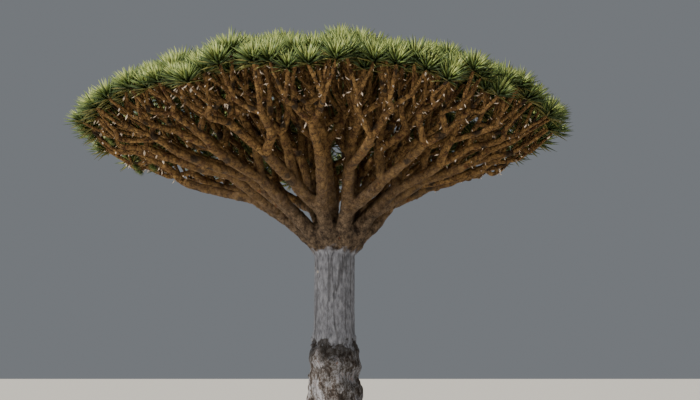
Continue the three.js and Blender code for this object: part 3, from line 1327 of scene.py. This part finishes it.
def bark_relief_tree() -> bpy.types.NodeTree:
    """Builds the tree that sinks cracks into a skin and raises knobs on it.

    Returns:
        The tree.
    """
    kinds = {
        "Crack depth": "NodeSocketFloat",
        "Crack spacing": "NodeSocketFloat",
        "Crack stretch": "NodeSocketFloat",
        "Crack width": "NodeSocketFloat",
        "Crack wander": "NodeSocketFloat",
        "Knob depth": "NodeSocketFloat",
        "Knob spacing": "NodeSocketFloat",
        "Smooth from": "NodeSocketFloat",
        "Smooth to": "NodeSocketFloat",
        "Smooth share": "NodeSocketFloat",
        "Material": "NodeSocketMaterial",
    }
    tree, given = geometry_tree("bark_relief", kinds)
    place = add_node(tree, "GeometryNodeInputPosition")
    finer = {0: 1.0, 1: given["Crack spacing"]}
    across = add_node(tree, "ShaderNodeMath", finer, operation="DIVIDE")
    longer = {0: across, 1: given["Crack stretch"]}
    upright = add_node(tree, "ShaderNodeMath", longer, operation="DIVIDE")
    scale = add_node(tree, "ShaderNodeCombineXYZ", {0: across, 1: across, 2: upright})
    scaled = add_node(tree, "ShaderNodeVectorMath", {0: place, 1: scale}, operation="MULTIPLY")
    waves = {"Vector": scaled, "Scale": given["Crack wander"]}
    wander = add_node(tree, "ShaderNodeTexNoise", waves, "Color")
    bent = add_node(tree, "ShaderNodeVectorMath", {0: scaled, 1: wander}, operation="ADD")
    cells = {"Vector": bent, "Scale": 1.0}
    away = add_node(tree, "ShaderNodeTexVoronoi", cells, "Distance", feature="DISTANCE_TO_EDGE")
    sides = {"Value": away, "From Max": given["Crack width"], "To Min": -1.0, "To Max": 0.0}
    sunk = add_node(tree, "ShaderNodeMapRange", sides)
    deep = {0: sunk, 1: given["Crack depth"]}
    cracks = add_node(tree, "ShaderNodeMath", deep, operation="MULTIPLY")

    often = add_node(tree, "ShaderNodeMath", {0: 1.0, 1: given["Knob spacing"]}, operation="DIVIDE")
    lumps = add_node(tree, "ShaderNodeTexNoise", {"Vector": place, "Scale": often, "Detail": 3.0})
    middled = add_node(tree, "ShaderNodeMath", {0: lumps, 1: 0.5}, operation="SUBTRACT")
    high = {0: middled, 1: given["Knob depth"]}
    knobs = add_node(tree, "ShaderNodeMath", high, operation="MULTIPLY")

    level = add_node(tree, "ShaderNodeSeparateXYZ", {0: place}, "Z")
    band = {"Value": level, "From Min": given["Smooth from"], "From Max": given["Smooth to"]}
    rougher = add_node(tree, "ShaderNodeMapRange", {**band, "To Min": given["Smooth share"]})
    relief = add_node(tree, "ShaderNodeMath", {0: cracks, 1: knobs}, operation="ADD")
    height = add_node(tree, "ShaderNodeMath", {0: relief, 1: rougher}, operation="MULTIPLY")
    normal = add_node(tree, "GeometryNodeInputNormal")
    offset = add_node(tree, "ShaderNodeVectorMath", {0: normal, "Scale": height}, operation="SCALE")
    skin = {"Geometry": given["Geometry"], "Offset": offset}
    moved = add_node(tree, "GeometryNodeSetPosition", skin)
    finish_tree(tree, moved, given["Material"])
    return tree


@dataclass
class Twigs(Part):
    """The finer limbs inside the masses of foliage, each a short knuckled tube."""

    limbs: list[Limb]
    sides: int = 9
    rows: int = 12
    knuckle: float = 0.09
    most_triangles: int = 190_000

    def build(self) -> list[bpy.types.Object]:
        """Builds the twigs.

        Returns:
            The pieces.
        """
        per_twig = 2 * self.sides * (self.rows + 2)
        share = self.most_triangles // per_twig
        material = BOUGH_BARK.material()
        pieces = []
        for part, first in enumerate(range(0, len(self.limbs), share)):
            arrays = Arrays()
            for limb in self.limbs[first : first + share]:
                arrays.add_rings(self._rings(limb))
            name = f"twigs_{part + 1}"
            mesh = arrays.mesh(name)
            mesh.materials.append(material)
            shade_smooth(mesh)
            pieces.append(show(name, mesh))
        return pieces

    def _rings(self, limb: Limb) -> np.ndarray:
        """Gives a twig's surface with its knuckles.

        Args:
            limb: The twig.

        Returns:
            The rings.
        """
        rings = limb_rings(limb, self.sides, self.rows)
        middles = rings.mean(axis=1, keepdims=True)
        row = np.arange(len(rings))[:, None, None]
        side = np.arange(self.sides)[None, :, None]
        uneven = self.knuckle * sway(limb.patch.key + 0.37 * row + 1.7 * side, Use.KNUCKLE)
        return middles + (rings - middles) * (1.0 + uneven)


@dataclass
class SwordLeaf:
    """One stiff leaf along +Z, folded along its middle, with its upper face towards +X.

    Each stop is a share of the length and the width there. The channel is the fold's depth as a share
    of the width.
    """

    length: float = 0.28
    stops: tuple[tuple[float, float], ...] = ((0.0, 0.032), (0.5, 0.026))
    channel: float = 0.42
    thickness: float = 0.004
    bend: float = 0.02

    def build(self) -> bpy.types.Object:
        """Builds the leaf as a closed blade.

        Returns:
            The leaf's object, which is only copied from.
        """
        points = []
        for share, width in self.stops:
            back = -self.bend * share**2
            high = share * self.length
            sunk = back - self.channel * width
            points += [
                (back, -width / 2, high),
                (sunk, 0.0, high),
                (back, width / 2, high),
                (sunk - self.thickness, 0.0, high),
            ]
        points.append((-self.bend, 0.0, self.length))
        arrays = Arrays()
        faces = [[0, 1, 3], [1, 2, 3]]
        last = 4 * (len(self.stops) - 1)
        sides = ((0, 1), (1, 2), (2, 3), (3, 0))
        for low in range(0, last, 4):
            for i, j in sides:
                faces.append([low + j, low + i, low + 4 + i, low + 4 + j])
        faces += [[last + j, last + i, last + 4] for i, j in sides]
        arrays.add(np.array(points), faces)
        return show("leaf_pattern", arrays.mesh("leaf_pattern"))


def rosette_tree() -> bpy.types.NodeTree:
    """Builds the tree that sets leaves round a point at the golden angle.

    Returns:
        The tree.
    """
    kinds = {
        "Leaves": "NodeSocketInt",
        "Least angle": "NodeSocketFloat",
        "Greatest angle": "NodeSocketFloat",
        "Uneven angle": "NodeSocketFloat",
        "Length": "NodeSocketFloat",
        "Shortest": "NodeSocketFloat",
        "Longest": "NodeSocketFloat",
        "Root distance": "NodeSocketFloat",
        "Seed": "NodeSocketInt",
        "Leaf": "NodeSocketObject",
        "Material": "NodeSocketMaterial",
    }
    tree, given = geometry_tree("leaf_rosette", kinds)
    index = add_node(tree, "GeometryNodeInputIndex")
    direction = leaf_direction(tree, index, given)
    out = {0: direction, "Scale": given["Root distance"]}
    root = add_node(tree, "ShaderNodeVectorMath", out, operation="SCALE")
    dots = add_node(tree, "GeometryNodePoints", {"Count": given["Leaves"], "Position": root})
    along = add_node(tree, "FunctionNodeAlignRotationToVector", {"Vector": direction}, axis="Z")
    upright = {"Rotation": along, "Vector": (0.0, 0.0, 1.0)}
    turn = {"axis": "X", "pivot_axis": "Z"}
    faced = add_node(tree, "FunctionNodeAlignRotationToVector", upright, **turn)
    other = {0: given["Seed"], 1: LENGTH_SEED}
    other_seed = add_node(tree, "ShaderNodeMath", other, operation="ADD")
    spread = {2: given["Shortest"], 3: given["Longest"], "ID": index, "Seed": other_seed}
    uneven = add_node(tree, "FunctionNodeRandomValue", spread, 1, data_type="FLOAT")
    length = add_node(tree, "ShaderNodeMath", {0: uneven, 1: given["Length"]}, operation="MULTIPLY")
    stretch = add_node(tree, "ShaderNodeCombineXYZ", {0: 1.0, 1: 1.0, 2: length})
    source = {"Object": given["Leaf"], "As Instance": True}
    leaf = add_node(tree, "GeometryNodeObjectInfo", source, "Geometry")
    copies = {"Points": dots, "Instance": leaf, "Rotation": faced, "Scale": stretch}
    leaves = add_node(tree, "GeometryNodeInstanceOnPoints", copies)
    finish_tree(tree, leaves, given["Material"])
    return tree


def leaf_direction(
    tree: bpy.types.NodeTree, index: bpy.types.NodeSocket, given: bpy.types.NodeOutputs
) -> bpy.types.NodeSocket:
    """Gives each leaf's direction, evenly spread between the least and the greatest angle.

    Args:
        tree: The tree that the nodes go into.
        index: The leaf's number.
        given: The tree's inputs.

    Returns:
        The direction, of length 1.
    """
    half = add_node(tree, "ShaderNodeMath", {0: index, 1: 0.5}, operation="ADD")
    share = add_node(tree, "ShaderNodeMath", {0: half, 1: given["Leaves"]}, operation="DIVIDE")
    high = add_node(tree, "ShaderNodeMath", {0: given["Least angle"]}, operation="COSINE")
    low = add_node(tree, "ShaderNodeMath", {0: given["Greatest angle"]}, operation="COSINE")
    drop = add_node(tree, "ShaderNodeMath", {0: low, 1: high}, operation="SUBTRACT")
    level = add_node(tree, "ShaderNodeMath", {0: share, 1: drop, 2: high}, operation="MULTIPLY_ADD")
    even = add_node(tree, "ShaderNodeMath", {0: level}, operation="ARCCOSINE")
    less = {0: 0.0, 1: given["Uneven angle"]}
    less = add_node(tree, "ShaderNodeMath", less, operation="SUBTRACT")
    spread = {2: less, 3: given["Uneven angle"], "ID": index, "Seed": given["Seed"]}
    uneven = add_node(tree, "FunctionNodeRandomValue", spread, 1, data_type="FLOAT")
    slope = add_node(tree, "ShaderNodeMath", {0: even, 1: uneven}, operation="ADD")
    twist = {0: given["Seed"], 1: SEED_TWIST}
    twist = add_node(tree, "ShaderNodeMath", twist, operation="MULTIPLY")
    turns = {0: index, 1: GOLDEN_ANGLE, 2: twist}
    bearing = add_node(tree, "ShaderNodeMath", turns, operation="MULTIPLY_ADD")
    outward = add_node(tree, "ShaderNodeMath", {0: slope}, operation="SINE")
    upward = add_node(tree, "ShaderNodeMath", {0: slope}, operation="COSINE")
    east = add_node(tree, "ShaderNodeMath", {0: bearing}, operation="COSINE")
    north = add_node(tree, "ShaderNodeMath", {0: bearing}, operation="SINE")
    x = add_node(tree, "ShaderNodeMath", {0: outward, 1: east}, operation="MULTIPLY")
    y = add_node(tree, "ShaderNodeMath", {0: outward, 1: north}, operation="MULTIPLY")
    return add_node(tree, "ShaderNodeCombineXYZ", {0: x, 1: y, 2: upward})


@dataclass(frozen=True)
class Tip:
    """Where a rosette sits, which way it faces, and its size as a share of a full one."""

    key: int
    place: np.ndarray
    axis: np.ndarray
    size: float


@dataclass(frozen=True)
class Shoots:
    """Small shoots that hang under some of the outer limbs, on the side towards -X.

    The least share is of the crown's radius. A shoot starts at a share along its limb, and drops by a
    share of its patch's radius.
    """

    least_share: float = 0.86
    greatest_cosine: float = -0.92
    likelihood: float = 0.22
    along: float = 0.6
    outward: float = 0.8
    drop: float = 0.5
    least_size: float = 0.34
    extra_size: float = 0.12

    def tips(self, limbs: list[Limb]) -> list[Tip]:
        """Gives the shoots' tips.

        Args:
            limbs: The limbs that may bear shoots.

        Returns:
            The tips.
        """
        tips = []
        for limb in limbs:
            key, bearing = limb.patch.key, limb.patch.bearing
            outer = limb.patch.share > self.least_share and math.cos(bearing) < self.greatest_cosine
            if outer and chance(key, Use.SHOOT) < self.likelihood:
                points, _, _ = limb.frame_at(np.array([self.along]))
                outward = np.array([math.cos(bearing), math.sin(bearing), 0.0])
                axis = unit(self.outward * outward - UP)
                place = points[0] + self.drop * limb.patch.radius * axis
                size = self.least_size + self.extra_size * chance(key, Use.SHOOT_SIZE)
                tips.append(Tip(key, place, axis, size))
        return tips


def rosette_tips(limbs: list[Limb]) -> list[Tip]:
    """Gives the rosettes at the ends of twigs, and the shoots on the limbs that fork.

    Args:
        limbs: Every limb inside the masses of foliage.

    Returns:
        The tips.
    """
    tips = []
    for limb in limbs:
        if limb.is_twig:
            size = 1.0 + UNEVEN_ROSETTES * sway(limb.patch.key, Use.ROSETTE_SIZE)
            tips.append(Tip(limb.patch.key, limb.patch.top, limb.patch.facing(), size))
    return tips + Shoots().tips([limb for limb in limbs if not limb.is_twig])


@dataclass
class Foliage(Part):
    """Every rosette's leaves, joined by their age into pieces of one colour each.

    Leaves are from the shortest to the longest share of their row's length.
    """

    tips: list[Tip]
    uneven_angle: float = 0.09
    shortest: float = 0.86
    longest: float = 1.08
    root_distance: float = 0.02
    variants: int = 5
    most_triangles: int = 190_000

    def build(self) -> list[bpy.types.Object]:
        """Builds the leaves.

        Returns:
            The pieces.
        """
        leaf = SwordLeaf().build()
        tree = rosette_tree()
        pieces = []
        for tier in Tier:
            rows = [self._row(tree, leaf, tier.value, seed) for seed in range(self.variants)]
            per_rosette = max(len(faces) for _, faces in rows)
            share = max(1, self.most_triangles // per_rosette)
            for part, first in enumerate(range(0, len(self.tips), share)):
                mesh = self._joined(self.tips[first : first + share], rows)
                mesh.materials.append(tier.value.finish.material())
                pieces.append(show(f"{tier.name.lower()}_leaves_{part + 1}", mesh))
        bpy.data.objects.remove(leaf)
        return pieces

    def _row(
        self, tree: bpy.types.NodeTree, leaf: bpy.types.Object, row: Row, seed: int
    ) -> tuple[np.ndarray, np.ndarray]:
        """Makes one row of leaves round the origin.

        Args:
            tree: The rosette's node tree.
            leaf: The leaf that it copies.
            row: The row.
            seed: Which variant of the row to make.

        Returns:
            The row's points and triangles.
        """
        carrier = show("row_pattern", bpy.data.meshes.new("row_pattern"))
        values = {
            "Leaves": row.leaves,
            "Least angle": row.least_angle,
            "Greatest angle": row.greatest_angle,
            "Uneven angle": self.uneven_angle,
            "Length": row.length,
            "Shortest": self.shortest,
            "Longest": self.longest,
            "Root distance": self.root_distance,
            "Seed": seed + 1,
            "Leaf": leaf,
        }
        run_tree(carrier, tree, values)
        mesh = carrier.data
        mesh.calc_loop_triangles()
        points = np.empty(3 * len(mesh.vertices))
        mesh.vertices.foreach_get("co", points)
        faces = np.empty(3 * len(mesh.loop_triangles), dtype=np.int32)
        mesh.loop_triangles.foreach_get("vertices", faces)
        bpy.data.objects.remove(carrier)
        return points.reshape(-1, 3), faces.reshape(-1, 3)

    @staticmethod
    def _joined(tips: list[Tip], rows: list[tuple[np.ndarray, np.ndarray]]) -> bpy.types.Mesh:
        """Sets a copy of a row on each tip, and joins them.

        Args:
            tips: The tips.
            rows: The row's variants, as points and triangles.

        Returns:
            The mesh.
        """
        points, faces, count = [], [], 0
        for tip in tips:
            row_points, row_faces = rows[tip.key % len(rows)]
            turn = TURN * chance(tip.key, Use.ROSETTE_TURN)
            side = np.array([math.cos(turn), math.sin(turn), 0.0])
            across = unit(side - tip.axis * tip.axis.dot(side))
            basis = np.stack([across, np.cross(tip.axis, across), tip.axis])
            points.append(tip.place + tip.size * row_points @ basis)
            faces.append(row_faces + count)
            count += len(row_points)
        all_points, all_faces = np.concatenate(points), np.concatenate(faces)
        mesh = bpy.data.meshes.new("leaves")
        mesh.vertices.add(len(all_points))
        mesh.vertices.foreach_set("co", all_points.ravel())
        mesh.loops.add(all_faces.size)
        mesh.loops.foreach_set("vertex_index", all_faces.ravel())
        mesh.polygons.add(len(all_faces))
        mesh.polygons.foreach_set("loop_start", np.arange(0, all_faces.size, 3, dtype=np.int32))
        mesh.update(calc_edges=True)
        return mesh


@dataclass
class DryScraps(Part):
    """Pale dry remains of old leaves, a few caught on each limb under the leaves; their near-white
    tone is also a painted highlight, standing in for sky and back-lit bits seen between the limbs.

    The likelihood is that of each place on a limb. The places lie between two shares of its length,
    and a scrap is rooted at a share of its radius. A scrap is a flat spindle, from the least size to
    the greatest, as shares of a full one, and it points outward, and up or down by chance.
    """

    limbs: list[Limb]
    places: int = 4
    likelihood: float = 0.42
    length: float = 0.085
    width: float = 0.034
    thickness: float = 0.014
    least_size: float = 0.4
    greatest_size: float = 1.2
    first_place: float = 0.1
    last_place: float = 0.95
    rooted_at: float = 0.8
    outward: float = 0.5
    highest: float = 0.5
    lowest: float = -1.1

    def build(self) -> list[bpy.types.Object]:
        """Builds the scraps.

        Returns:
            The piece.
        """
        arrays = Arrays()
        for limb in self.limbs:
            for i in range(self.places):
                key = limb.patch.key + 0.31 * i
                if chance(key, Use.SCRAP) < self.likelihood:
                    self._add_scrap(arrays, limb, key)
        mesh = arrays.mesh("dry_scraps")
        # The near-white finish is partly a painted highlight.
        mesh.materials.append(DRY_SCRAPS_AND_HIGHLIGHT_FINISH.material())
        return [show("dry_scraps", mesh)]

    def _add_scrap(self, arrays: Arrays, limb: Limb, key: float) -> None:
        """Adds one scrap, which hangs from the side of a limb.

        Args:
            arrays: What it is added to.
            limb: The limb.
            key: What its place follows from.
        """
        span = self.last_place - self.first_place
        at = np.array([self.first_place + span * chance(key, Use.SCRAP_PLACE)])
        points, across, upward = limb.frame_at(at)
        turn = TURN * chance(key, Use.SCRAP_TURN)
        out = math.cos(turn) * across[0] + math.sin(turn) * upward[0]
        root = points[0] + self.rooted_at * limb.radius_at(at)[0] * out
        rise = self.highest + (self.lowest - self.highest) * chance(key, Use.SCRAP_DROOP)
        along = unit(self.outward * out + rise * UP)
        side = unit(np.cross(along, UP))
        over = np.cross(along, side)
        growth = self.greatest_size - self.least_size
        size = self.least_size + growth * chance(key, Use.SCRAP_SIZE) ** 2
        middle = root + 0.5 * size * self.length * along
        corners = [
            root,
            middle - 0.5 * size * self.width * side,
            middle + 0.5 * size * self.width * side,
            middle + size * self.thickness * over,
            root + size * self.length * along,
        ]
        faces = [[0, 2, 1], [0, 3, 2], [0, 1, 3], [4, 1, 2], [4, 2, 3], [4, 3, 1]]
        arrays.add(np.array(corners), faces)


@dataclass(frozen=True)
class Sun:
    """A distant soft light, tilted from straight down and then turned about the upright axis."""

    name: str
    energy: float
    softness: float
    tilt: float
    turn: float
    colour: tuple[float, float, float] = (1.0, 0.95, 0.86)

    def shine(self) -> None:
        """Puts the light into the scene."""
        sun = bpy.data.lights.new(self.name, "SUN")
        sun.energy = self.energy
        sun.angle = math.radians(self.softness)
        sun.color = self.colour
        lamp = bpy.data.objects.new(self.name, sun)
        lamp.rotation_euler = (math.radians(self.tilt), 0.0, math.radians(self.turn))
        bpy.context.scene.collection.objects.link(lamp)


@dataclass(frozen=True)
class Studio:
    """A plain pale floor, soft light from the upper left and the camera, apart from the tree."""

    camera_at: tuple[float, float, float] = (0.23, -14.9, 1.5)
    camera_pitch: float = 98.82
    lens: float = 53.7
    sensor_width: float = 36.0
    clip_end: float = 400.0
    floor_side: float = 160.0
    floor_drop: float = 0.002
    floor_tone: str = "#c9c6c0"
    floor_roughness: float = 0.95
    sky_tone: str = "#dfe6ee"
    sky_strength: float = 0.24
    suns: tuple[Sun, ...] = (
        Sun("soft_sun", 5.5, 3.0, 44.0, -50.0),
        Sun("low_fill", 0.9, 10.0, 84.0, -50.0),
    )

    def build(self) -> None:
        """Builds the studio."""
        self._floor()
        self._light()
        self._camera()

    def _floor(self) -> None:
        """Lays the floor just under the trunk's cut."""
        half = self.floor_side / 2.0
        square = ((-half, -half), (half, -half), (half, half), (-half, half))
        mesh = bpy.data.meshes.new("floor")
        mesh.from_pydata([(x, y, -self.floor_drop) for x, y in square], [], [(0, 1, 2, 3)])
        material = bpy.data.materials.new("pale_floor")
        material.use_nodes = True
        shader = material.node_tree.nodes["Principled BSDF"]
        shader.inputs["Base Color"].default_value = linear(self.floor_tone)
        shader.inputs["Roughness"].default_value = self.floor_roughness
        mesh.materials.append(material)
        show("floor", mesh)

    def _light(self) -> None:
        """Lights the tree with a pale sky and the suns."""
        world = bpy.data.worlds.new("pale_sky")
        world.use_nodes = True
        back = world.node_tree.nodes["Background"]
        back.inputs["Color"].default_value = linear(self.sky_tone)
        back.inputs["Strength"].default_value = self.sky_strength
        bpy.context.scene.world = world
        for sun in self.suns:
            sun.shine()

    def _camera(self) -> None:
        """Sets the camera where the photo was taken from."""
        camera = bpy.data.cameras.new("camera")
        camera.sensor_fit = "HORIZONTAL"
        camera.sensor_width = self.sensor_width
        camera.lens = self.lens
        camera.clip_end = self.clip_end
        holder = bpy.data.objects.new("camera", camera)
        holder.location = self.camera_at
        holder.rotation_euler = (math.radians(self.camera_pitch), 0.0, 0.0)
        bpy.context.scene.collection.objects.link(holder)
        bpy.context.scene.camera = holder


def main() -> None:
    """Builds the tree and its studio, and reports each piece."""
    logging.basicConfig(level=logging.INFO, format="%(name)s: %(message)s")
    limbs = [limb for root in root_limbs() for limb in root.grown()]
    boughs = [limb for limb in limbs if limb.level == 0]
    sides = [limb for limb in limbs if limb.level > 0 and limb.patch.area > GROWTH.side_area]
    twigs = [limb for limb in limbs if limb.level > 0 and limb.patch.area <= GROWTH.side_area]
    tips = rosette_tips(twigs)
    counts = (len(boughs), len(sides), len(twigs), len(tips))
    log.info("%d main limbs, %d side limbs, %d twigs, %d rosettes", *counts)

    names = sorted(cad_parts)
    masses = [name for name in names if name.startswith("foliage")]
    bough_names = [name for name in names if name.startswith("bough")]
    side_names = [name for name in bough_names if name.endswith(("_a", "_b"))]
    base_names = ["trunk", *(name for name in bough_names if name not in side_names)]

    parts = [
        BarkSkin(
            Slot.TRUNK, base_names, "trunk_and_boughs", boughs, TRUNK_BARK, voxel=0.013, trunk=Trunk()
        ),
        BarkSkin(Slot.BOUGH, side_names, "side_boughs", sides, HEAD_BARK, voxel=0.0175),
        Twigs(Slot.BOUGH, masses, twigs),
        Foliage(Slot.LEAF, masses, tips),
        DryScraps(Slot.LEAF, masses, twigs),
    ]
    for part in parts:
        part.dress(part.build())
    Studio().build()


if __name__ == "__main__":
    main()
